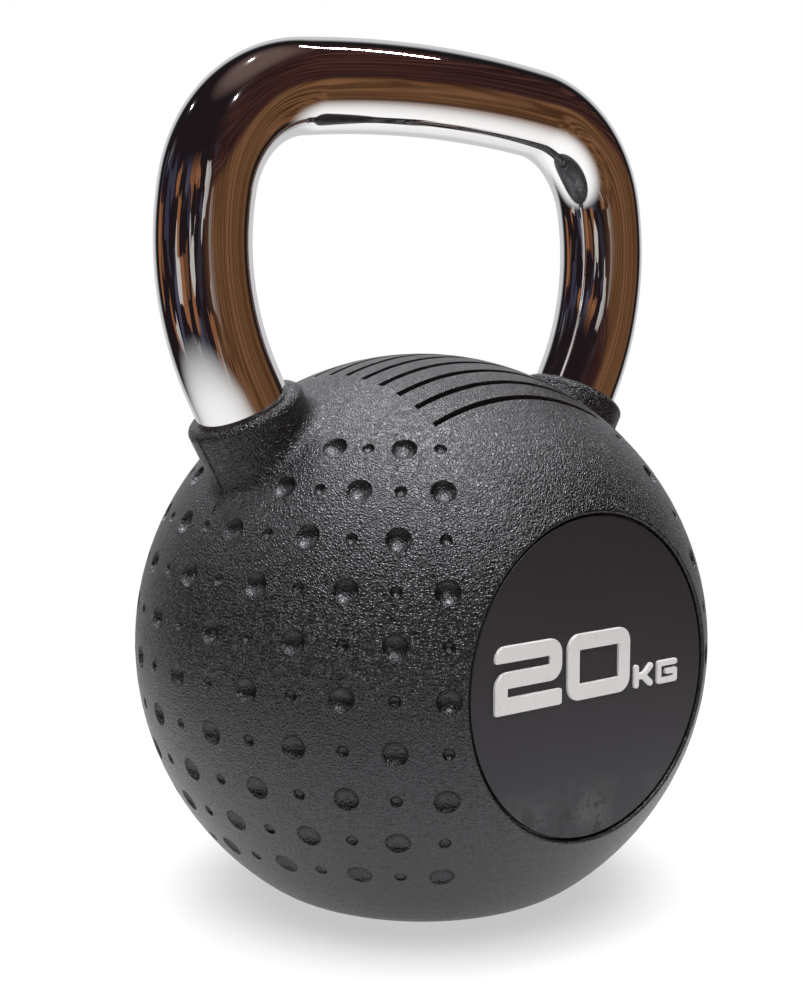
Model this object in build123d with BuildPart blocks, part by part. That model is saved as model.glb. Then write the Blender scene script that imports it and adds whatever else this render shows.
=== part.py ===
"""A 20 kg kettlebell: a cast iron core in a moulded rubber casing, with a polished steel handle.

The origin is the centre of the flat base, +Z is up, the handle spans X and the front badge faces -Y.
"""
from build123d import *
import math
import os

# ---------------------------------------------------------------- driving dimensions, millimetres
ball_diameter = 188          # moulded ball, across its equator
base_cut = 12                # how much of the ball the flat base takes away
base_edge_radius = 30        # rounding between the ball and the flat that it stands on
rubber_thickness = 10        # rubber over the core's ball
base_rubber = 8              # rubber under the core
badge_rubber = 6             # rubber between the core and the floor of a badge recess

handle_diameter = 29         # steel bar
hand_gap = 69.5              # from the top of the ball up to the underside of the grip's middle
crown_radius = 407           # gentle arch of the grip
crown_turn = 6.8             # degrees that each half of the grip turns through
shoulder_radius = 38.6       # bend between the grip and a leg
shoulder_turn = 72
leg_radius = 90.6            # bow of a leg, in towards the ball
leg_turn = 38.2

socket_clearance = 0.1       # gap all round the bar in the core
socket_depth = 30            # from the seat down to the floor of the socket
weld_leg = 6                 # size of the weld bead round the bar, along the bar and across the seat
seat_margin = 1.5            # flat seat left round the weld bead
seat_sink = 1                # least depth of the seat's edge below the core's ball

collar_height = 12           # from the ball's surface up to the collar's lip, along the bar
collar_rim_wall = 4.1        # rubber round the bar at the lip
collar_root_wall = 3.1       # rubber round the bar where the collar meets the ball
collar_lip_radius = 2.6      # rounding of the lip
collar_root_fillet = 4.5     # blend between the collar and the ball
collar_length = 34           # from the lip down, well inside the ball

badge_recess_diameter = 97.2
badge_recess_depth = 3       # from the edge where the recess meets the ball
badge_recess_rim_radius = 0.8
badge_clearance = 0.7        # gap all round a badge in its recess
badge_thickness = 1.6
badge_edge_radius = 0.4
adhesive_thickness = 0.4
adhesive_margin = 3          # the adhesive disc stops this far inside the badge's edge

digit_width = 26.1
digit_height = 19.7
digit_stroke = 4.8
digit_corner_radius = 4.6
digit_tip_radius = 0.8
digit_heel_radius = 3.9      # the heel of the "2", up at its tip
digit_two_left = -39.5       # left edge of the "2", from the badge's middle
digit_zero_left = -11
digit_foot = -5.9            # bottom of the digits and letters, from the badge's middle
letter_k_stroke = 2
letter_g_stroke = 1.84
letter_height = 7.2
letter_k_width = 8.2
letter_g_width = 9
letter_k_left = 17.2
letter_g_left = 27.4
glyph_relief = 1             # how far the digits and letters stand up from a badge
glyph_edge_chamfer = 0.25    # round the top edges of the digits and letters

dimple_rows = 10
dimple_columns = 13          # on each side of the ball, centred on its outermost line
top_row_latitude = 46        # degrees
dimple_pitch = 9.2           # degrees between rows, and between columns
large_dimple_radius = 3.9
large_dimple_depth = 2
small_dimple_radius = 1.9
small_dimple_depth = 1.2

groove_count = 12            # fine grooves on top of the ball, along X
groove_pitch = 8.55
groove_length = 68
groove_width = 2.2
groove_depth = 1.4

# ---------------------------------------------------------------- derived sizes
ball_radius = ball_diameter / 2
ball_centre_height = ball_radius - base_cut
ball_centre = Vector(0, 0, ball_centre_height)
core_radius = ball_radius - rubber_thickness
bar_radius = handle_diameter / 2
grip_height = ball_centre_height + ball_radius + hand_gap + bar_radius    # of the bar's centre line
collar_rim_radius = bar_radius + collar_rim_wall
collar_root_radius = bar_radius + collar_root_wall
seat_radius = bar_radius + weld_leg + seat_margin
recess_radius = badge_recess_diameter / 2
recess_reach = math.sqrt(ball_radius**2 - recess_radius**2) - badge_recess_depth
badge_radius = recess_radius - badge_clearance
badge_back_reach = recess_reach + adhesive_thickness
badge_face_reach = badge_back_reach + badge_thickness
far = 2 * ball_diameter      # longer than any cut needs to be

FRONT, REAR = -1, 1          # sides along Y
LEFT, RIGHT = -1, 1          # sides along X


def ball_section(radius, floor, edge_radius):
    """Half section of a ball that stands on a flat, with a rounded edge between the two."""
    edge_centre_height = floor + edge_radius
    drop = ball_centre_height - edge_centre_height
    edge_centre_x = math.sqrt((radius - edge_radius) ** 2 - drop**2)
    tangent_angle = -math.degrees(math.atan2(drop, edge_centre_x))
    with BuildSketch(Plane.YZ) as section:
        with BuildLine():
            CenterArc((0, ball_centre_height), radius, tangent_angle, 90 - tangent_angle)
            CenterArc((edge_centre_x, edge_centre_height), edge_radius, -90, 90 + tangent_angle)
            Line((edge_centre_x, floor), (0, floor))
            Line((0, floor), (0, ball_centre_height + radius))
        make_face()
    return section.sketch


def badge_plane(side, reach):
    """Plane square to Y at a distance from the ball's centre, facing outwards, upright and unmirrored."""
    return Plane(origin=(0, side * reach, ball_centre_height), x_dir=(-side, 0, 0), z_dir=(0, side, 0))


# ---------------------------------------------------------------- handle
with BuildLine(Plane.XZ) as handle_path:
    crown = JernArc((0, grip_height), (1, 0), crown_radius, -crown_turn)
    shoulder = JernArc(crown @ 1, crown % 1, shoulder_radius, -shoulder_turn)
    leg = JernArc(shoulder @ 1, shoulder % 1, leg_radius, -leg_turn)

# Below its bow the bar is straight. Heights along it count from the point nearest the ball's centre.
up_bar = -(leg % 1)
bow_height = (leg @ 1 - ball_centre).dot(up_bar)
nearest_point = leg @ 1 - up_bar * bow_height
bar_offset = (nearest_point - ball_centre).length
rim_height = math.sqrt(ball_radius**2 - bar_offset**2) + collar_height
seat_height = math.sqrt(core_radius**2 - (bar_offset + seat_radius) ** 2) - seat_sink
bar_end_height = seat_height - socket_depth


def bar_plane(side, height):
    """Plane square to the straight foot of the bar, facing up it, at a height along it."""
    point = nearest_point + up_bar * height
    return Plane(
        origin=(side * point.X, 0, point.Z),
        x_dir=(0, 1, 0),
        z_dir=(side * up_bar.X, 0, up_bar.Z),
    )


with handle_path:
    Line(leg @ 1, nearest_point + up_bar * bar_end_height)
    mirror(about=Plane.YZ)


path_wire = handle_path.wires()[0]
with BuildPart() as handle:
    with BuildSketch(Plane(origin=path_wire @ 0, z_dir=path_wire % 0)):
        Circle(bar_radius)
    sweep(path=path_wire)

# ---------------------------------------------------------------- iron core
with BuildPart() as iron_core:
    add(ball_section(core_radius, base_rubber, base_edge_radius - rubber_thickness))
    revolve(axis=Axis.Z)
    for side in (FRONT, REAR):
        with BuildSketch(badge_plane(side, recess_reach - badge_rubber)):
            Circle(core_radius)
        extrude(amount=far, mode=Mode.SUBTRACT)
    for side in (LEFT, RIGHT):
        with BuildSketch(bar_plane(side, seat_height)):
            Circle(seat_radius)
        extrude(amount=far, mode=Mode.SUBTRACT)
        with BuildSketch(bar_plane(side, seat_height)):
            Circle(bar_radius + socket_clearance)
        extrude(amount=-socket_depth, mode=Mode.SUBTRACT)


# ---------------------------------------------------------------- weld beads
def weld_bead(side):
    """Ring of weld in the corner between the bar and its seat."""
    seat = bar_plane(side, seat_height)
    section_plane = Plane(origin=seat.origin, x_dir=seat.x_dir, z_dir=seat.x_dir.cross(seat.z_dir))
    with BuildPart() as bead:
        with BuildSketch(section_plane):
            with BuildLine():
                foot = Line((bar_radius, 0), (bar_radius + weld_leg, 0))
                side_up = Line((bar_radius, 0), (bar_radius, weld_leg))
                RadiusArc(side_up @ 1, foot @ 1, 2 * weld_leg)
            make_face()
        revolve(axis=Axis(seat.origin, seat.z_dir))
    return bead


left_weld_bead = weld_bead(LEFT)
right_weld_bead = weld_bead(RIGHT)


# ---------------------------------------------------------------- rubber casing
def dimple_points(parity, radius):
    """Centres, on the ball's surface, of the dimples of one size: the two sizes alternate in a grid."""
    clear_of_collar = collar_root_radius + collar_root_fillet + radius
    clear_of_badge = recess_radius + badge_recess_rim_radius + radius
    points = []
    for row in range(dimple_rows):
        latitude = math.radians(top_row_latitude - row * dimple_pitch)
        for column in range(dimple_columns):
            if (row + column) % 2 != parity:
                continue
            longitude = math.radians((column - (dimple_columns - 1) / 2) * dimple_pitch)
            out = Vector(
                math.cos(latitude) * math.cos(longitude),
                math.cos(latitude) * math.sin(longitude),
                math.sin(latitude),
            )
            point = ball_centre + out * ball_radius
            if (point - nearest_point).cross(up_bar).length < clear_of_collar:
                continue
            if math.hypot(point.X, point.Z - ball_centre_height) < clear_of_badge:
                continue
            points += [point, Vector(-point.X, point.Y, point.Z)]
    return points


def cut_dimples(parity, radius, depth):
    """Cut round pockets with a ball whose middle stands off the surface."""
    cutter_radius = (radius**2 + depth**2) / (2 * depth)
    stand_off = ball_radius + cutter_radius - depth
    places = []
    for point in dimple_points(parity, radius):
        out = (point - ball_centre).normalized()
        places.append(Plane(origin=ball_centre + out * stand_off, z_dir=out))
    with Locations(*places):
        Sphere(cutter_radius, mode=Mode.SUBTRACT)


with BuildPart() as groove_cutter:
    with BuildSketch(Plane.XY.offset(ball_centre_height)):
        with GridLocations(0, groove_pitch, 1, groove_count):
            Rectangle(groove_length, groove_width)
    extrude(amount=far)
    with Locations(ball_centre):
        Sphere(ball_radius - groove_depth, mode=Mode.SUBTRACT)

with BuildPart() as rubber_casing:
    add(ball_section(ball_radius, 0, base_edge_radius))
    revolve(axis=Axis.Z)
    for side in (LEFT, RIGHT):
        rim = bar_plane(side, rim_height)
        section_plane = Plane(origin=rim.origin, x_dir=rim.x_dir, z_dir=rim.x_dir.cross(rim.z_dir))
        with BuildSketch(section_plane):
            with BuildLine():
                Polyline(
                    (0, 0),
                    (collar_rim_radius, 0),
                    (collar_root_radius, -collar_length),
                    (0, -collar_length),
                    close=True,
                )
            collar_section = make_face()
            fillet(collar_section.vertices().sort_by(Axis(rim.origin, rim.x_dir))[-1], collar_lip_radius)
        revolve(axis=Axis(rim.origin, rim.z_dir))
    fillet(rubber_casing.edges().filter_by(GeomType.BSPLINE), collar_root_fillet)
    for side in (FRONT, REAR):
        with BuildSketch(badge_plane(side, recess_reach)):
            Circle(recess_radius)
        extrude(amount=far, mode=Mode.SUBTRACT)
    rims = rubber_casing.edges().filter_by(GeomType.CIRCLE).group_by(Axis.Y)
    fillet(rims[0] + rims[-1], badge_recess_rim_radius)
    add(groove_cutter.part, mode=Mode.SUBTRACT)
    cut_dimples(1, large_dimple_radius, large_dimple_depth)
    cut_dimples(0, small_dimple_radius, small_dimple_depth)
    for side in (LEFT, RIGHT):
        with BuildSketch(bar_plane(side, seat_height)):
            Circle(bar_radius + socket_clearance)
        extrude(amount=-socket_depth, mode=Mode.SUBTRACT)
    for inner in (iron_core, handle, left_weld_bead, right_weld_bead):
        add(inner.part, mode=Mode.SUBTRACT)


# ---------------------------------------------------------------- badges
def adhesive_disc(side):
    with BuildPart() as disc:
        with BuildSketch(badge_plane(side, recess_reach)):
            Circle(badge_radius - adhesive_margin)
        extrude(amount=adhesive_thickness)
    return disc


def badge(side):
    with BuildPart() as plate:
        with BuildSketch(badge_plane(side, badge_back_reach)):
            Circle(badge_radius)
        extrude(amount=badge_thickness)
        face = plate.faces().sort_by(Axis((0, 0, 0), (0, side, 0)))[-1]
        fillet(face.edges(), badge_edge_radius)
    return plate


# ---------------------------------------------------------------- digits and letters
def stroke(start, end, width):
    """Straight stroke with round ends, in the sketch's own plane."""
    run = Vector(*end) - Vector(*start)
    with Locations(((start[0] + end[0]) / 2, (start[1] + end[1]) / 2)):
        SlotCenterToCenter(run.length, width, rotation=math.degrees(math.atan2(run.Y, run.X)))


def two_outline():
    """A squared "2" with its lower left corner at the origin."""
    low_gap_top = (digit_height - digit_stroke) / 2
    mid_top = low_gap_top + digit_stroke
    right, top, thick = digit_width, digit_height, digit_stroke
    with BuildSketch(Plane.XY) as glyph:
        with BuildLine():
            Polyline(
                (0, 0), (right, 0), (right, thick), (thick, thick), (thick, low_gap_top),
                (right, low_gap_top), (right, top), (0, top), (0, top - thick),
                (right - thick, top - thick), (right - thick, mid_top), (0, mid_top), close=True,
            )
        make_face()
        round_corners = [(right, low_gap_top), (right, top), (0, mid_top)]
        tips = [(0, 0), (right, 0), (right, thick), (0, top - thick)]
        fillet(corners_at(glyph, round_corners), digit_corner_radius)
        fillet(corners_at(glyph, [(0, top)]), digit_heel_radius)
        fillet(corners_at(glyph, tips), digit_tip_radius)
    return glyph.sketch


def corners_at(glyph, places):
    """The glyph's vertices at the given places."""
    return [min(glyph.vertices(), key=lambda corner: (Vector(corner) - Vector(*place)).length)
            for place in places]


def zero_outline():
    """A squared "0" with its lower left corner at the origin."""
    with BuildSketch(Plane.XY) as glyph:
        with Locations((digit_width / 2, digit_height / 2)):
            RectangleRounded(digit_width, digit_height, digit_corner_radius)
            Rectangle(digit_width - 2 * digit_stroke, digit_height - 2 * digit_stroke,
                      mode=Mode.SUBTRACT)
    return glyph.sketch


def k_outline():
    """A "K" of round-ended strokes with its lower left corner at the origin."""
    inset = letter_k_stroke / 2
    near, knee, far_side = inset, letter_k_width / 2, letter_k_width - inset
    low, middle, high = inset, letter_height / 2, letter_height - inset
    with BuildSketch(Plane.XY) as glyph:
        stroke((near, low), (near, high), letter_k_stroke)
        stroke((near, middle), (knee, middle), letter_k_stroke)
        stroke((knee, middle), (far_side, high), letter_k_stroke)
        stroke((knee, middle), (far_side, low), letter_k_stroke)
    return glyph.sketch


def g_outline():
    """A "G" of round-ended strokes with its lower left corner at the origin."""
    inset = letter_g_stroke / 2
    near, inner, far_side = inset, letter_g_width / 2, letter_g_width - inset
    low, middle, high = inset, letter_height / 2, letter_height - inset
    turns = [(far_side, high), (near, high), (near, low), (far_side, low), (far_side, middle),
             (inner, middle)]
    with BuildSketch(Plane.XY) as glyph:
        for start, end in zip(turns, turns[1:]):
            stroke(start, end, letter_g_stroke)
    return glyph.sketch


def raised_glyph(side, outline, left):
    """A digit or letter that stands up from a badge's face."""
    face = badge_plane(side, badge_face_reach)
    corner = face.from_local_coords((left, digit_foot, 0))
    with BuildPart() as glyph:
        with BuildSketch(Plane(origin=corner, x_dir=face.x_dir, z_dir=face.z_dir)):
            add(outline)
        extrude(amount=glyph_relief)
        top = glyph.faces().sort_by(Axis((0, 0, 0), (0, side, 0)))[-1]
        chamfer(top.edges(), glyph_edge_chamfer)
    return glyph


# ---------------------------------------------------------------- the finished pieces
pieces = {
    "iron_core": iron_core,
    "left_weld_bead": left_weld_bead,
    "right_weld_bead": right_weld_bead,
    "handle": handle,
    "rubber_casing": rubber_casing,
}
outlines = {
    "digit_two": (two_outline(), digit_two_left),
    "digit_zero": (zero_outline(), digit_zero_left),
    "letter_k": (k_outline(), letter_k_left),
    "letter_g": (g_outline(), letter_g_left),
}
for side_name, side in (("front", FRONT), ("rear", REAR)):
    pieces[f"{side_name}_adhesive"] = adhesive_disc(side)
    pieces[f"{side_name}_badge"] = badge(side)
    for glyph_name, (outline, left) in outlines.items():
        pieces[f"{side_name}_{glyph_name}"] = raised_glyph(side, outline, left)

os.makedirs("parts", exist_ok=True)
for name, piece in pieces.items():
    piece.part.label = name
    export_step(piece.part, f"parts/{name}.step")
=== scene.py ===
# %% [markdown]
# # A 20 kg kettlebell in rubber and chrome
# The real thing is a cast iron ball in a moulded rubber casing, with a chromed steel bar welded into it.
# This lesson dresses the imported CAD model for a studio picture. The model comes in as a fixed frame in
# metres: the origin is the middle of the flat base, +Z is up and the front badge faces -Y. Nothing in it
# is moved. Its pieces get their finishes, and the bar gives way to a smoother one on the same line.

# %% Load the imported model
import math

import bpy
from mathutils import Matrix, Quaternion, Vector


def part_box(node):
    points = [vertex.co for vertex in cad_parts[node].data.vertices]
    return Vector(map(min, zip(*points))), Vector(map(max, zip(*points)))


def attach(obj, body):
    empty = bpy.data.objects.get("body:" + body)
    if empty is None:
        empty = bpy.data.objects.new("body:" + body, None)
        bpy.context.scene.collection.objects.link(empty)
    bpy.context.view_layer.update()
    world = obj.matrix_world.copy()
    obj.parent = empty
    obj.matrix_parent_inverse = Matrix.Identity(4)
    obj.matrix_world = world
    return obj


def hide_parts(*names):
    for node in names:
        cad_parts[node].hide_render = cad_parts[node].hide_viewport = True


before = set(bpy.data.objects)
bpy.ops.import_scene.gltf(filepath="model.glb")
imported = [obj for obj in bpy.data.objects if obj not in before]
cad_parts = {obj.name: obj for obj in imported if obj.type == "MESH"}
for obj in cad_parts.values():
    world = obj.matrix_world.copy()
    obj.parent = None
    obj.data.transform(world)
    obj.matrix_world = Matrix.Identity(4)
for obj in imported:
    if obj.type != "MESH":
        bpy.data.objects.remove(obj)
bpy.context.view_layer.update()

# %% [markdown]
# ## Where things are
# Every later step needs the ball: the grain of the rubber fades out in its dimples, and the light is
# aimed at it. The casing's box gives the top of the ball, and the ball's radius is a known size, so the
# middle follows from the two. Reading it from the frame keeps the finish in place if the model changes.

# %% The ball's middle
MM = 0.001
ball_radius = 94 * MM
casing_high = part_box("rubber_casing")[1]
ball_centre = Vector((0, 0, casing_high[2] - ball_radius))
print("ball centre", tuple(ball_centre))

# %% [markdown]
# ## Camera
# A hand-held camera a good half metre away, a little above the ball and round to its front left. A
# camera can be placed by angles, or by where it stands and what it looks at. The second is easier to
# read, and the last small turn about the line of sight is added to it.

# %% Camera
camera = bpy.data.objects.new("camera", bpy.data.cameras.new("camera"))
bpy.context.collection.objects.link(camera)
camera.location = (-0.33469, -0.40345, 0.18476)
aim = Vector((-0.00205, 0.00804, 0.12924))
roll = math.radians(0.09)
line_of_sight = aim - camera.location
camera.rotation_mode = "QUATERNION"
camera.rotation_quaternion = line_of_sight.to_track_quat("-Z", "Y") @ Quaternion((0, 0, 1), roll)
camera.data.sensor_width = 36
camera.data.lens = 58.127
bpy.context.scene.camera = camera
bpy.context.scene.view_settings.view_transform = "Standard"
print("camera stands", round(line_of_sight.length, 3), "m from its aim")

# %% [markdown]
# ## Node maths that reads like maths
# A finish is a small program made of nodes. Linking Math nodes by hand hides what they work out, so one
# class wraps a socket and turns +, -, * and / into the nodes. Its `add` method makes every other kind of
# node: the settings go first, because they decide which sockets the node has.

# %% Node helpers
def add_node(tree, kind, settings, sockets):
    node = tree.nodes.new(kind)
    for name, setting in settings.items():
        setattr(node, name, setting)
    for key, given in sockets.items():
        if isinstance(given, Value):
            tree.links.new(given.socket, node.inputs[key])
        else:
            node.inputs[key].default_value = given
    return node


class Value:
    """A socket that can be used in sums. Each operation adds a Math node to the socket's tree."""

    def __init__(self, socket):
        self.socket = socket

    def maths(self, operation, *others):
        """A Math node that takes this value first, and the others after it."""
        terms = dict(enumerate([self, *others]))
        node = add_node(self.socket.id_data, "ShaderNodeMath", {"operation": operation}, terms)
        return Value(node.outputs[0])

    def __add__(self, other):
        return self.maths("ADD", other)

    def __sub__(self, other):
        return self.maths("SUBTRACT", other)

    def __rsub__(self, other):
        return self.maths("MULTIPLY_ADD", -1.0, other)

    def __mul__(self, other):
        return self.maths("MULTIPLY", other)

    def __truediv__(self, other):
        return self.maths("DIVIDE", other)

    __radd__ = __add__
    __rmul__ = __mul__

    def fade(self, start, end):
        """0 up to start, 1 from end on, and a smooth step between."""
        sockets = {"Value": self, "From Min": start, "From Max": end}
        smooth = {"interpolation_type": "SMOOTHSTEP"}
        return Value(add_node(self.socket.id_data, "ShaderNodeMapRange", smooth, sockets).outputs[0])


# A Mix node keeps sockets of one name for each kind of data, so the ones for colour go by number.
COLOUR_A, COLOUR_B, MIXED_COLOUR = 6, 7, 2


class Graph:
    """A node tree, with short names for the nodes that the finishes share."""

    def __init__(self, tree):
        self.tree = tree
        tree.nodes.clear()

    def add(self, kind, sockets=None, output=0, **settings):
        """One new node. What comes back is one of its outputs, by name or by number."""
        return Value(add_node(self.tree, kind, settings, sockets or {}).outputs[output])

    def noise(self, place, scale, detail=2.0, roughness=0.5):
        sockets = {"Vector": place, "Scale": scale, "Detail": detail, "Roughness": roughness}
        return self.add("ShaderNodeTexNoise", sockets)

    def colours(self, mix, first, second):
        """A colour from first, where mix is 0, to second, where it is 1."""
        sockets = {"Factor": mix, COLOUR_A: first, COLOUR_B: second}
        return self.add("ShaderNodeMix", sockets, output=MIXED_COLOUR, data_type="RGBA")

    def stretched(self, place, scale):
        return self.add("ShaderNodeVectorMath", {0: place, 1: scale}, operation="MULTIPLY")

    def distance(self, place, point):
        return self.add("ShaderNodeVectorMath", {0: place, 1: point}, output="Value", operation="DISTANCE")

    def parts(self, kind, whole):
        """The three parts of a vector or a colour."""
        first = self.add(kind, {0: whole})
        return [Value(socket) for socket in first.socket.node.outputs]

    def bumped(self, height, distance):
        return self.add("ShaderNodeBump", {"Height": height, "Distance": distance, "Strength": 1.0})


def new_finish(name):
    """A material with an empty tree, and the place of the shaded point in the object's frame."""
    material = bpy.data.materials.new(name)
    material.use_nodes = True
    graph = Graph(material.node_tree)
    return material, graph, graph.add("ShaderNodeTexCoord", output="Object")


def finish_surface(graph, shader):
    """Ends a finish in any shader."""
    add_node(graph.tree, "ShaderNodeOutputMaterial", {}, {"Surface": shader})


def shade(graph, **sockets):
    """Ends a finish in one Principled shader. Names are the sockets' names with _ for a space."""
    named = {name.replace("_", " "): given for name, given in sockets.items()}
    finish_surface(graph, graph.add("ShaderNodeBsdfPrincipled", named))


def dress(names, material):
    """Puts one finish on CAD nodes, whose shapes stay as they are."""
    for name in names:
        bpy.data.objects[name].material_slots[0].material = material
    print(material.name, "on", ", ".join(names))


def grey(level):
    return (level, level, level, 1)


print("node helpers ready")

# %% [markdown]
# ## The room that the chrome mirrors
# Polished chrome has hardly any colour of its own: it shows the room. So the room is made first, as the
# world's colour by direction. A ready-made picture of a room would do, but a few soft shapes are
# enough and need no file: a wall of brown wood under darker panelling to the right, dark shelves with
# small coloured boxes to the left and behind the camera, a reddish ceiling, and a pale screen in a
# black frame behind the kettlebell. The screen gives the chrome its silver edges, and the frame the
# dark line beside them.

# %% World
world = bpy.data.worlds.new("room")
bpy.context.scene.world = world
world.use_nodes = True
room = Graph(world.node_tree)
direction = room.add("ShaderNodeTexCoord", output="Generated")
east, north, height = room.parts("ShaderNodeSeparateXYZ", direction)
on_right = (east * 0.85 - north * 0.5).fade(-0.15, 0.45)
streaks = room.noise(room.stretched(direction, (1.2, 1.2, 26.0)), 2.2, 3.0, 0.6)
panelling = room.colours(streaks.fade(0.4, 0.7), (0.022, 0.0085, 0.009, 1), (0.085, 0.036, 0.028, 1))
planks = room.noise(room.stretched(direction, (14.0, 14.0, 0.6)), 2.0, 3.0, 0.6)
wood = room.colours(planks.fade(0.35, 0.65), (0.06, 0.025, 0.011, 1), (0.2, 0.096, 0.045, 1))
right_wall = room.colours(height.fade(0.16, 0.27), wood, panelling)
boxes = room.add(
    "ShaderNodeTexVoronoi",
    {"Vector": room.stretched(direction, (1.0, 1.0, 0.5)), "Scale": 6.5, "Randomness": 1.0},
    output="Color",
    distance="CHEBYCHEV",
)
first_tone, second_tone, third_tone = room.parts("ShaderNodeSeparateColor", boxes)
on_shelf = 1 - height.maths("ABSOLUTE").fade(0.3, 0.55)
box_colour = room.colours(second_tone.fade(0.45, 0.55), (0.26, 0.11, 0.05, 1), (0.06, 0.06, 0.1, 1))
lit_box_colour = room.colours(third_tone.fade(0.8, 0.85), box_colour, (0.5, 0.48, 0.46, 1))
shelves = room.colours(first_tone.fade(0.6, 0.85) * on_shelf, (0.014, 0.009, 0.011, 1), lit_box_colour)
walls = room.colours(on_right, shelves, right_wall)
ceiled = room.colours(height.fade(0.86, 0.99), walls, (0.13, 0.085, 0.075, 1))
behind = east * 0.62 + north * 0.78
framed = room.colours(behind.fade(0.44, 0.48), ceiled, (0.012, 0.01, 0.011, 1))
room_colour = room.colours(behind.fade(0.62, 0.8), framed, (0.62, 0.62, 0.64, 1))
background = room.add("ShaderNodeBackground", {"Color": room_colour, "Strength": 1.0})
add_node(world.node_tree, "ShaderNodeOutputWorld", {}, {"Surface": background})
print("room of", len(world.node_tree.nodes), "nodes")

# %% [markdown]
# ## Floor and backdrop
# The kettlebell stands on a plain white floor that runs into a white backdrop with no line between. A
# lit floor always darkens with distance, so the backdrop is a big shell that glows evenly and that only
# the camera sees, and the floor is a disc whose edge fades into it. The disc glows too, as a table of
# milk glass lit from below does, and under the ball its glow is darkened into a painted contact shadow.
# The glow keeps the shadow pale and lights the lower half of the ball, and the chrome mirrors a white
# floor close by and the dark room beyond.

# %% Floor and backdrop
FLOOR_RADIUS = 0.65
bpy.ops.mesh.primitive_circle_add(vertices=96, radius=FLOOR_RADIUS, fill_type="NGON")
floor = bpy.context.object
floor.name = "floor"
floor_finish, graph, place = new_finish("white_floor")
from_middle = graph.distance(place, (0, 0, 0))
# Painted contact shadow: the floor's glow is darker within a few centimetres of the middle, under the
# ball.
glow_with_painted_contact_shadow = graph.colours(from_middle.fade(0.05, 0.095), grey(0.55), grey(0.96))
white = graph.add("ShaderNodeBsdfPrincipled", {
    "Base Color": grey(0.06),
    "Roughness": 0.9,
    "Emission Color": glow_with_painted_contact_shadow,
    "Emission Strength": 1.0,
})
clear = graph.add("ShaderNodeBsdfTransparent")
faded = graph.add("ShaderNodeMixShader", {0: from_middle.fade(0.16, 0.55), 1: white, 2: clear})
finish_surface(graph, faded)
floor.data.materials.append(floor_finish)

bpy.ops.mesh.primitive_ico_sphere_add(subdivisions=4, radius=6)
backdrop = bpy.context.object
backdrop.name = "backdrop"
backdrop_finish, graph, place = new_finish("white_backdrop")
finish_surface(graph, graph.add("ShaderNodeEmission", {"Color": grey(1), "Strength": 1.0}))
backdrop.data.materials.append(backdrop_finish)
backdrop.visible_diffuse = False
backdrop.visible_glossy = False
backdrop.visible_transmission = False
backdrop.visible_shadow = False
print("floor out to", FLOOR_RADIUS, "m")

# %% [markdown]
# ## Light
# Six soft lamps stand round the ball at the same distance, given by compass angle and height. The one
# overhead and the one behind light the top of the ball and leave a dark band round the middle, and the
# glowing floor lights the foot from below. The one in front lights the badge and its figures, and the
# others open up the sides and draw a rim on the left. Area lamps are used throughout, because their
# size sets how soft the shadows are.

# %% Soft lamps
LAMP_DISTANCE = 1.3
SOFT_LAMP_SIZE = 0.5


def direction_of(azimuth, elevation):
    """Azimuth 0 is in front of the badge and 90 on its right; elevation is above the horizon."""
    turn, lift = math.radians(azimuth), math.radians(elevation)
    return Vector((math.sin(turn) * math.cos(lift), -math.cos(turn) * math.cos(lift), math.sin(lift)))


def lamp(name, towards, watts, size):
    data = bpy.data.lights.new(name, "AREA")
    data.shape = "DISK"
    data.size = size
    data.energy = watts
    made = bpy.data.objects.new(name, data)
    bpy.context.collection.objects.link(made)
    made.location = ball_centre + towards * LAMP_DISTANCE
    made.rotation_mode = "QUATERNION"
    made.rotation_quaternion = (-towards).to_track_quat("-Z", "Y")
    return made


# Azimuth and elevation in degrees, then watts.
SOFT_LAMPS = {
    "overhead": (0, 88, 13.5),
    "right": (90, 60, 4.0),
    "back": (180, 62, 9.0),
    "left": (270, 60, 2.6),
    "left_rim": (225, 35, 3.0),
    "front": (340, 56, 7.4),
}
soft_lamps = [
    lamp(f"{name}_soft_lamp", direction_of(azimuth, elevation), watts, SOFT_LAMP_SIZE)
    for name, (azimuth, elevation, watts) in SOFT_LAMPS.items()
]
print(len(soft_lamps), "soft lamps")

# %% [markdown]
# ## Moulded rubber
# The casing is black rubber from a mould with a pebbled skin, duller than paint and brighter than cloth.
# Its floors of dimples and grooves come out smoother, because the grain of the mould doesn't reach them.
# The grain could be real geometry, but a million tiny bumps cost more than they show, so a bump from a
# cell pattern bends the light instead. The cells are pulled about by noise, so no row can be seen.

# %% Rubber
rubber, graph, place = new_finish("pebbled_rubber")
depth = ball_radius - graph.distance(place, tuple(ball_centre))
sunken = depth.fade(0.25 * MM, 0.9 * MM)
wander = graph.add("ShaderNodeTexNoise", {"Vector": place, "Scale": 420.0, "Detail": 1.0}, output="Color")
wander_reach = (1.5 * MM,) * 3
shift_sockets = {0: wander, 1: wander_reach, 2: place}
shifted = graph.add("ShaderNodeVectorMath", shift_sockets, operation="MULTIPLY_ADD")
pebbles = graph.add(
    "ShaderNodeTexVoronoi",
    {"Vector": shifted, "Scale": 1050.0},
    output="Distance",
    feature="DISTANCE_TO_EDGE",
)
grain = pebbles.fade(0.0, 0.32)
fine = graph.noise(place, 1900.0, 2.0, 0.6)
patches = graph.noise(place, 26.0, 3.0)
skin = (grain + fine * 0.9) * (1 - sunken * 0.5)
DEEP_BLACK, WORN_BLACK = (0.0018, 0.0018, 0.0024, 1), (0.0038, 0.0038, 0.0048, 1)
COOL_GLOSS = (0.94, 0.93, 1.0, 1)
shade(
    graph,
    Base_Color=graph.colours(patches.fade(0.3, 0.75), DEEP_BLACK, WORN_BLACK),
    Roughness=0.34 - grain * 0.08 + patches * 0.06,
    Specular_IOR_Level=0.8,
    Specular_Tint=COOL_GLOSS,
    Normal=graph.bumped(skin, 0.15 * MM),
)
dress(["rubber_casing"], rubber)

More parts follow.
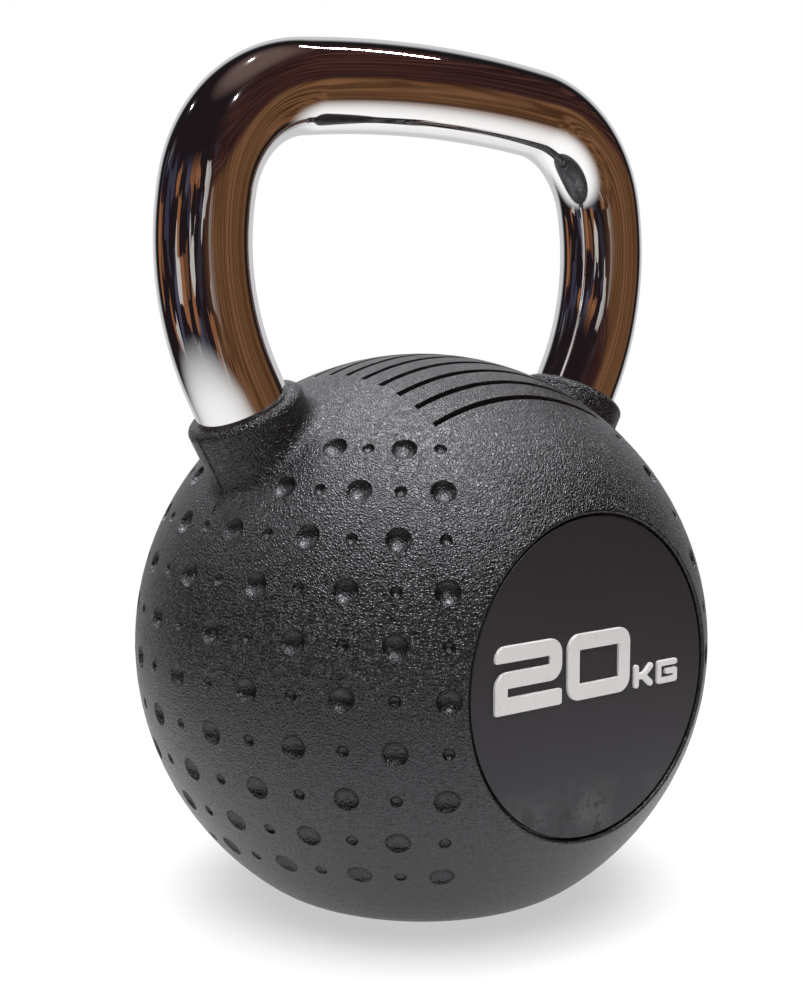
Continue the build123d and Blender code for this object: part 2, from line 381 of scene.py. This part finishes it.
# %% [markdown]
# ## The chromed bar
# The bar is one steel rod bent three times on each side: a nearly flat grip, a tight shoulder and a long
# bow towards the ball, and then it runs straight into the iron. Chrome shows every facet, so the bar is
# made again, much finer, on the same rule. Geometry Nodes suit a shape that follows a rule: one straight
# line is resampled, and each bend adds its own shift to the points beyond its start. The sum of the
# shifts is the path, and a circle is swept along it.

# %% Tree for the bar
BAR_INPUTS = {
    "Bar Diameter": 29 * MM,
    "Grip Height": 260 * MM,
    "Crown Radius": 407 * MM,
    "Crown Turn": math.radians(6.8),
    "Shoulder Radius": 38.6 * MM,
    "Shoulder Turn": math.radians(72),
    "Leg Radius": 90.6 * MM,
    "Leg Turn": math.radians(38.2),
    "Foot Length": 71.95 * MM,
}


def geometry_tree(name, inputs):
    """A Geometry Nodes tree with a geometry in and out, and named inputs of the given kinds."""
    tree = bpy.data.node_groups.new(name, "GeometryNodeTree")
    graph = Graph(tree)
    tree.interface.new_socket("Geometry", in_out="INPUT", socket_type="NodeSocketGeometry")
    tree.interface.new_socket("Geometry", in_out="OUTPUT", socket_type="NodeSocketGeometry")
    for label, kind in inputs.items():
        tree.interface.new_socket(label, in_out="INPUT", socket_type=kind)
    outputs = graph.add("NodeGroupInput").socket.node.outputs
    return tree, graph, {socket.name: Value(socket) for socket in outputs if socket.name}


def finish_tree(graph, geometry, material):
    """Real mesh with smooth faces and one finish, whatever made it."""
    smooth = graph.add("GeometryNodeSetShadeSmooth", {"Geometry": geometry})
    real = graph.add("GeometryNodeRealizeInstances", {"Geometry": smooth})
    dressed = graph.add("GeometryNodeSetMaterial", {"Geometry": real, "Material": material})
    add_node(graph.tree, "NodeGroupOutput", {}, {"Geometry": dressed})


def swept_tube(graph, path, diameter, sides):
    """A round tube with closed ends along a curve."""
    ring = graph.add("GeometryNodeCurvePrimitiveCircle", {"Resolution": sides, "Radius": diameter * 0.5})
    return graph.add("GeometryNodeCurveToMesh", {"Curve": path, "Profile Curve": ring, "Fill Caps": True})


def run_tree(name, tree, settings):
    """Runs a tree on an empty mesh, and leaves its result as the object's plain mesh."""
    maker = bpy.data.objects.new(name, bpy.data.meshes.new(name))
    bpy.context.collection.objects.link(maker)
    modifier = maker.modifiers.new("maker", "NODES")
    modifier.node_group = tree
    for item in tree.interface.items_tree:
        if item.in_out == "INPUT" and item.name in settings:
            modifier[item.identifier] = settings[item.name]
    evaluated = maker.evaluated_get(bpy.context.evaluated_depsgraph_get())
    mesh = bpy.data.meshes.new_from_object(evaluated)
    maker.modifiers.clear()
    maker.data = mesh
    mesh.name = name
    return maker


kinds = {label: "NodeSocketFloat" for label in BAR_INPUTS}
bar_tree, graph, given = geometry_tree("bent_bar", {**kinds, "Finish": "NodeSocketMaterial"})


def bend(along, start, heading, radius, turn):
    """The shift that one bend gives a point, as (sideways, upwards), with the bend's end and heading."""
    bend_length = radius * turn
    swept = (along - start).maths("MAXIMUM", 0.0).maths("MINIMUM", bend_length)
    angle = heading + swept / radius
    sideways = radius * (angle.maths("SINE") - heading.maths("SINE"))
    upwards = radius * (angle.maths("COSINE") - heading.maths("COSINE"))
    return sideways, upwards, start + bend_length, heading + turn


line = graph.add("GeometryNodeCurvePrimitiveLine", {"Start": (-1, 0, 0), "End": (1, 0, 0)})
fine_line = graph.add("GeometryNodeResampleCurve", {"Curve": line, "Count": 401})
share = graph.add("GeometryNodeSplineParameter", output="Factor") * 2 - 1
which_side = share.maths("SIGN")
bends = [("Crown Radius", "Crown Turn"), ("Shoulder Radius", "Shoulder Turn"), ("Leg Radius", "Leg Turn")]
half_length = given["Foot Length"]
for radius_name, turn_name in bends:
    half_length = half_length + given[radius_name] * given[turn_name]
along = share.maths("ABSOLUTE") * half_length
start = heading = along * 0.0
reach, rise = 0.0, given["Grip Height"]
for radius_name, turn_name in bends:
    sideways, upwards, start, heading = bend(along, start, heading, given[radius_name], given[turn_name])
    reach, rise = sideways + reach, rise + upwards
straight = (along - start).maths("MAXIMUM", 0.0)
reach = reach + straight * heading.maths("COSINE")
rise = rise - straight * heading.maths("SINE")
bent_place = graph.add("ShaderNodeCombineXYZ", {"X": which_side * reach, "Z": rise})
bent = graph.add("GeometryNodeSetPosition", {"Geometry": fine_line, "Position": bent_place})
finish_tree(graph, swept_tube(graph, bent, given["Bar Diameter"], 96), given["Finish"])
print("bar tree of", len(bar_tree.nodes), "nodes")

# %% [markdown]
# ## Chrome
# Chrome plate is a mirror with a faint warm cast. Handling leaves a thin film that blurs the mirror in
# patches, and polishing leaves fine waves in the steel under it. Both are slight: the first goes into
# the roughness, and the second into a very long, very shallow bump.

# %% Chrome and the bar
chrome, graph, place = new_finish("polished_chrome")
smudges = graph.noise(place, 38.0, 4.0, 0.6)
waves = graph.noise(place, 22.0, 1.0)
shade(
    graph,
    Base_Color=(0.9, 0.89, 0.885, 1),
    Metallic=1.0,
    Roughness=0.035 + smudges.fade(0.5, 0.8) * 0.06,
    Normal=graph.bumped(waves, 0.2 * MM),
)
bar = run_tree("chromed_bar", bar_tree, {**BAR_INPUTS, "Finish": chrome})
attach(bar, "root")
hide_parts("handle")
print("bar", len(bar.data.polygons), "faces,", [round(size / MM, 1) for size in bar.dimensions], "mm")

# %% [markdown]
# ## Sparks in the chrome
# A soft lamp shows in a mirror as a big white oval, which flattens the bar. The bar is therefore left
# out of the soft lamps by light linking, and gets its own: a long tube overhead, which draws a line
# along the grip, and three bare bulbs for the small hot points on the left shoulder.

# %% Lamps for the chrome alone
def collection_of(name, piece, state):
    """A collection that says which lamps' light a piece takes (INCLUDE) or is left out of (EXCLUDE)."""
    chosen = bpy.data.collections.new(name)
    chosen.objects.link(piece)
    chosen.collection_objects[0].light_linking.link_state = state
    return chosen


only_bar = collection_of("only_bar", bar, "INCLUDE")
all_but_bar = collection_of("all_but_bar", bar, "EXCLUDE")
for soft in soft_lamps:
    soft.light_linking.receiver_collection = all_but_bar

TUBE_LENGTH, TUBE_WIDTH, TUBE_WATTS = 0.46, 0.034, 1.8
BULB_SIZE, BULB_WATTS = 0.035, 1.6
BULB_ANGLES = [(-26, 56), (-148, 47), (-170, 80)]

towards_tube = Vector((0.43, 0.01, 0.88)).normalized()
tube = lamp("tube_lamp", towards_tube, TUBE_WATTS, TUBE_LENGTH)
tube.data.shape = "RECTANGLE"
tube.data.size_y = TUBE_WIDTH
nearly_along = Vector((0.655, -0.634, -0.41))
across_tube = towards_tube.cross(nearly_along).normalized()
along_tube = across_tube.cross(towards_tube)
tube.rotation_quaternion = Matrix((along_tube, across_tube, towards_tube)).transposed().to_quaternion()
bulbs = [
    lamp(f"bulb_{number}", direction_of(azimuth, elevation), BULB_WATTS, BULB_SIZE)
    for number, (azimuth, elevation) in enumerate(BULB_ANGLES, start=1)
]
for spark in [tube, *bulbs]:
    spark.light_linking.receiver_collection = only_bar
print(1 + len(bulbs), "lamps for the chrome")

# %% [markdown]
# ## Mould lines
# The two halves of the mould meet in the plane of the bar, and leave a thin raised line down the outer
# side of each collar. Rays are cast at the casing from outside, and where they land is the path of a
# very thin rod, half sunk in the rubber. That way the line follows the collar's lip and its root
# without being told their shape.

# %% Mould lines on the collars
LINE_KINDS = {
    "Casing": "NodeSocketObject",
    "Top": "NodeSocketVector",
    "Foot": "NodeSocketVector",
    "Look": "NodeSocketVector",
    "Thickness": "NodeSocketFloat",
    "Finish": "NodeSocketMaterial",
}
line_tree, graph, given = geometry_tree("mould_line", LINE_KINDS)
line = graph.add("GeometryNodeCurvePrimitiveLine", {"Start": given["Top"], "End": given["Foot"]})
fine_line = graph.add("GeometryNodeResampleCurve", {"Curve": line, "Count": 60})
target = graph.add("GeometryNodeObjectInfo", {"Object": given["Casing"]}, output="Geometry")
landing = graph.add(
    "GeometryNodeRaycast",
    {"Target Geometry": target, "Ray Direction": given["Look"], "Ray Length": 0.2},
    output="Hit Position",
)
landed = graph.add("GeometryNodeSetPosition", {"Geometry": fine_line, "Position": landing})
finish_tree(graph, swept_tube(graph, landed, given["Thickness"], 12), given["Finish"])

# The straight foot of the right bar runs up at this lean. Heights along it are measured from the
# point of its axis that is nearest to the ball's middle.
lean = math.pi - sum(BAR_INPUTS[turn_name] for _, turn_name in bends)
up_bar = Vector((math.cos(lean), 0, math.sin(lean)))
outwards = Vector((up_bar.z, 0, -up_bar.x))
axis_start = Vector((23.6, 0, 69.97)) * MM
LINE_TOP, LINE_FOOT = 100.5 * MM, 79 * MM
LINE_THICKNESS = 0.7 * MM
RAYS_FROM = 60 * MM


def mirrored(vector, side):
    """The same vector for the right side, 1, or for the left, -1."""
    return Vector((side * vector.x, vector.y, vector.z))


for name, side in (("left_mould_line", -1), ("right_mould_line", 1)):
    mould_line = run_tree(name, line_tree, {
        "Casing": bpy.data.objects["rubber_casing"],
        "Top": mirrored(axis_start + up_bar * LINE_TOP + outwards * RAYS_FROM, side),
        "Foot": mirrored(axis_start + up_bar * LINE_FOOT + outwards * RAYS_FROM, side),
        "Look": mirrored(-outwards, side),
        "Thickness": LINE_THICKNESS,
        "Finish": rubber,
    })
    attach(mould_line, "root")
    print(name, len(mould_line.data.polygons), "faces")

# %% [markdown]
# ## Badges
# Each badge is a thin plate of black plastic with a satin face, stuck in a round recess. It picks up
# scuffs and dust near its foot, where it is knocked when the weight is put down. One noise spreads
# pale dust, a finer one makes dark blots, and a third with stretched cells makes the scratches. Masks
# by height and by side keep most of them low on the plate and to its left.

# %% Badge plastic
badge_plastic, graph, place = new_finish("satin_badge_plastic")
x, _, z = graph.parts("ShaderNodeSeparateXYZ", place)
low = 1 - z.fade(ball_centre.z - 41 * MM, ball_centre.z - 26 * MM)
on_left = 1 - x.fade(0.0, 20 * MM)
dust = graph.noise(place, 70.0, 6.0, 0.75).fade(0.42, 0.62) * low * (on_left * 0.65 + 0.2)
blots = graph.noise(place, 140.0, 6.0, 0.72).fade(0.5, 0.56) * low * on_left
scratches = graph.noise(graph.stretched(place, (1.0, 1.0, 0.3)), 1500.0, 2.0, 0.6).fade(0.68, 0.76)
haze = graph.noise(place, 24.0, 3.0, 0.6)
pale = dust + scratches * (low * 0.2 + 0.05)
dusty = graph.colours(pale.maths("MINIMUM", 1.0), (0.03, 0.0285, 0.034, 1), (0.13, 0.13, 0.135, 1))
texture = graph.noise(place, 3200.0, 1.0)
shade(
    graph,
    Base_Color=graph.colours(blots * 0.8, dusty, (0.012, 0.011, 0.011, 1)),
    Roughness=0.36 + haze * 0.12 + dust * 0.2,
    Specular_Tint=COOL_GLOSS,
    Normal=graph.bumped(texture, 0.02 * MM),
)
dress(["front_badge", "rear_badge"], badge_plastic)

# %% [markdown]
# ## Digits and letters
# The raised figures are a soft white, a little uneven as printed or foiled plastic is, and greyer in
# small specks where it has been rubbed.

# %% White figures
figure_white, graph, place = new_finish("soft_white_figures")
rubbed = graph.noise(place, 240.0, 5.0, 0.65).fade(0.55, 0.85)
clouds = graph.noise(place, 60.0, 2.0)
shade(
    graph,
    Base_Color=graph.colours(rubbed * 0.6 + clouds * 0.15, grey(1), (0.6, 0.6, 0.61, 1)),
    Roughness=0.42 + rubbed * 0.2,
    Normal=graph.bumped(graph.noise(place, 1800.0, 2.0), 0.03 * MM),
)
FIGURES = ["digit_two", "digit_zero", "letter_k", "letter_g"]
dress([f"{end}_{figure}" for end in ("front", "rear") for figure in FIGURES], figure_white)

# %% [markdown]
# ## Inside pieces
# The iron core, its weld beads and the adhesive behind the badges can't be seen, but a part library
# shows them alone too. Cast iron has a coarse sandy skin with rust in its hollows, a weld bead shows
# its ripples and heat colours, and the adhesive is a soft grey foam.

# %% Iron, weld and adhesive
cast_iron, graph, place = new_finish("cast_iron")
sand = graph.noise(place, 520.0, 5.0, 0.65)
rust = graph.noise(place, 45.0, 5.0, 0.6).fade(0.5, 0.7)
shade(
    graph,
    Base_Color=graph.colours(rust, (0.055, 0.053, 0.052, 1), (0.11, 0.05, 0.028, 1)),
    Metallic=0.7 - rust * 0.6,
    Roughness=0.55 + rust * 0.3,
    Normal=graph.bumped(sand, 0.5 * MM),
)
dress(["iron_core"], cast_iron)

weld_steel, graph, place = new_finish("weld_steel")
ripples = graph.noise(place, 300.0, 2.0)
heat = graph.noise(place, 70.0, 2.0).fade(0.4, 0.65)
shade(
    graph,
    Base_Color=graph.colours(heat, (0.35, 0.33, 0.31, 1), (0.16, 0.13, 0.2, 1)),
    Metallic=1.0,
    Roughness=0.3 + ripples * 0.2,
    Normal=graph.bumped(ripples, 0.4 * MM),
)
dress(["left_weld_bead", "right_weld_bead"], weld_steel)

adhesive_foam, graph, place = new_finish("adhesive_foam")
cells = graph.noise(place, 1400.0, 3.0, 0.6)
shade(
    graph,
    Base_Color=graph.colours(cells, (0.2, 0.2, 0.19, 1), (0.36, 0.36, 0.34, 1)),
    Roughness=0.85 - cells * 0.1,
    Normal=graph.bumped(cells, 0.1 * MM),
)
dress(["front_adhesive", "rear_adhesive"], adhesive_foam)
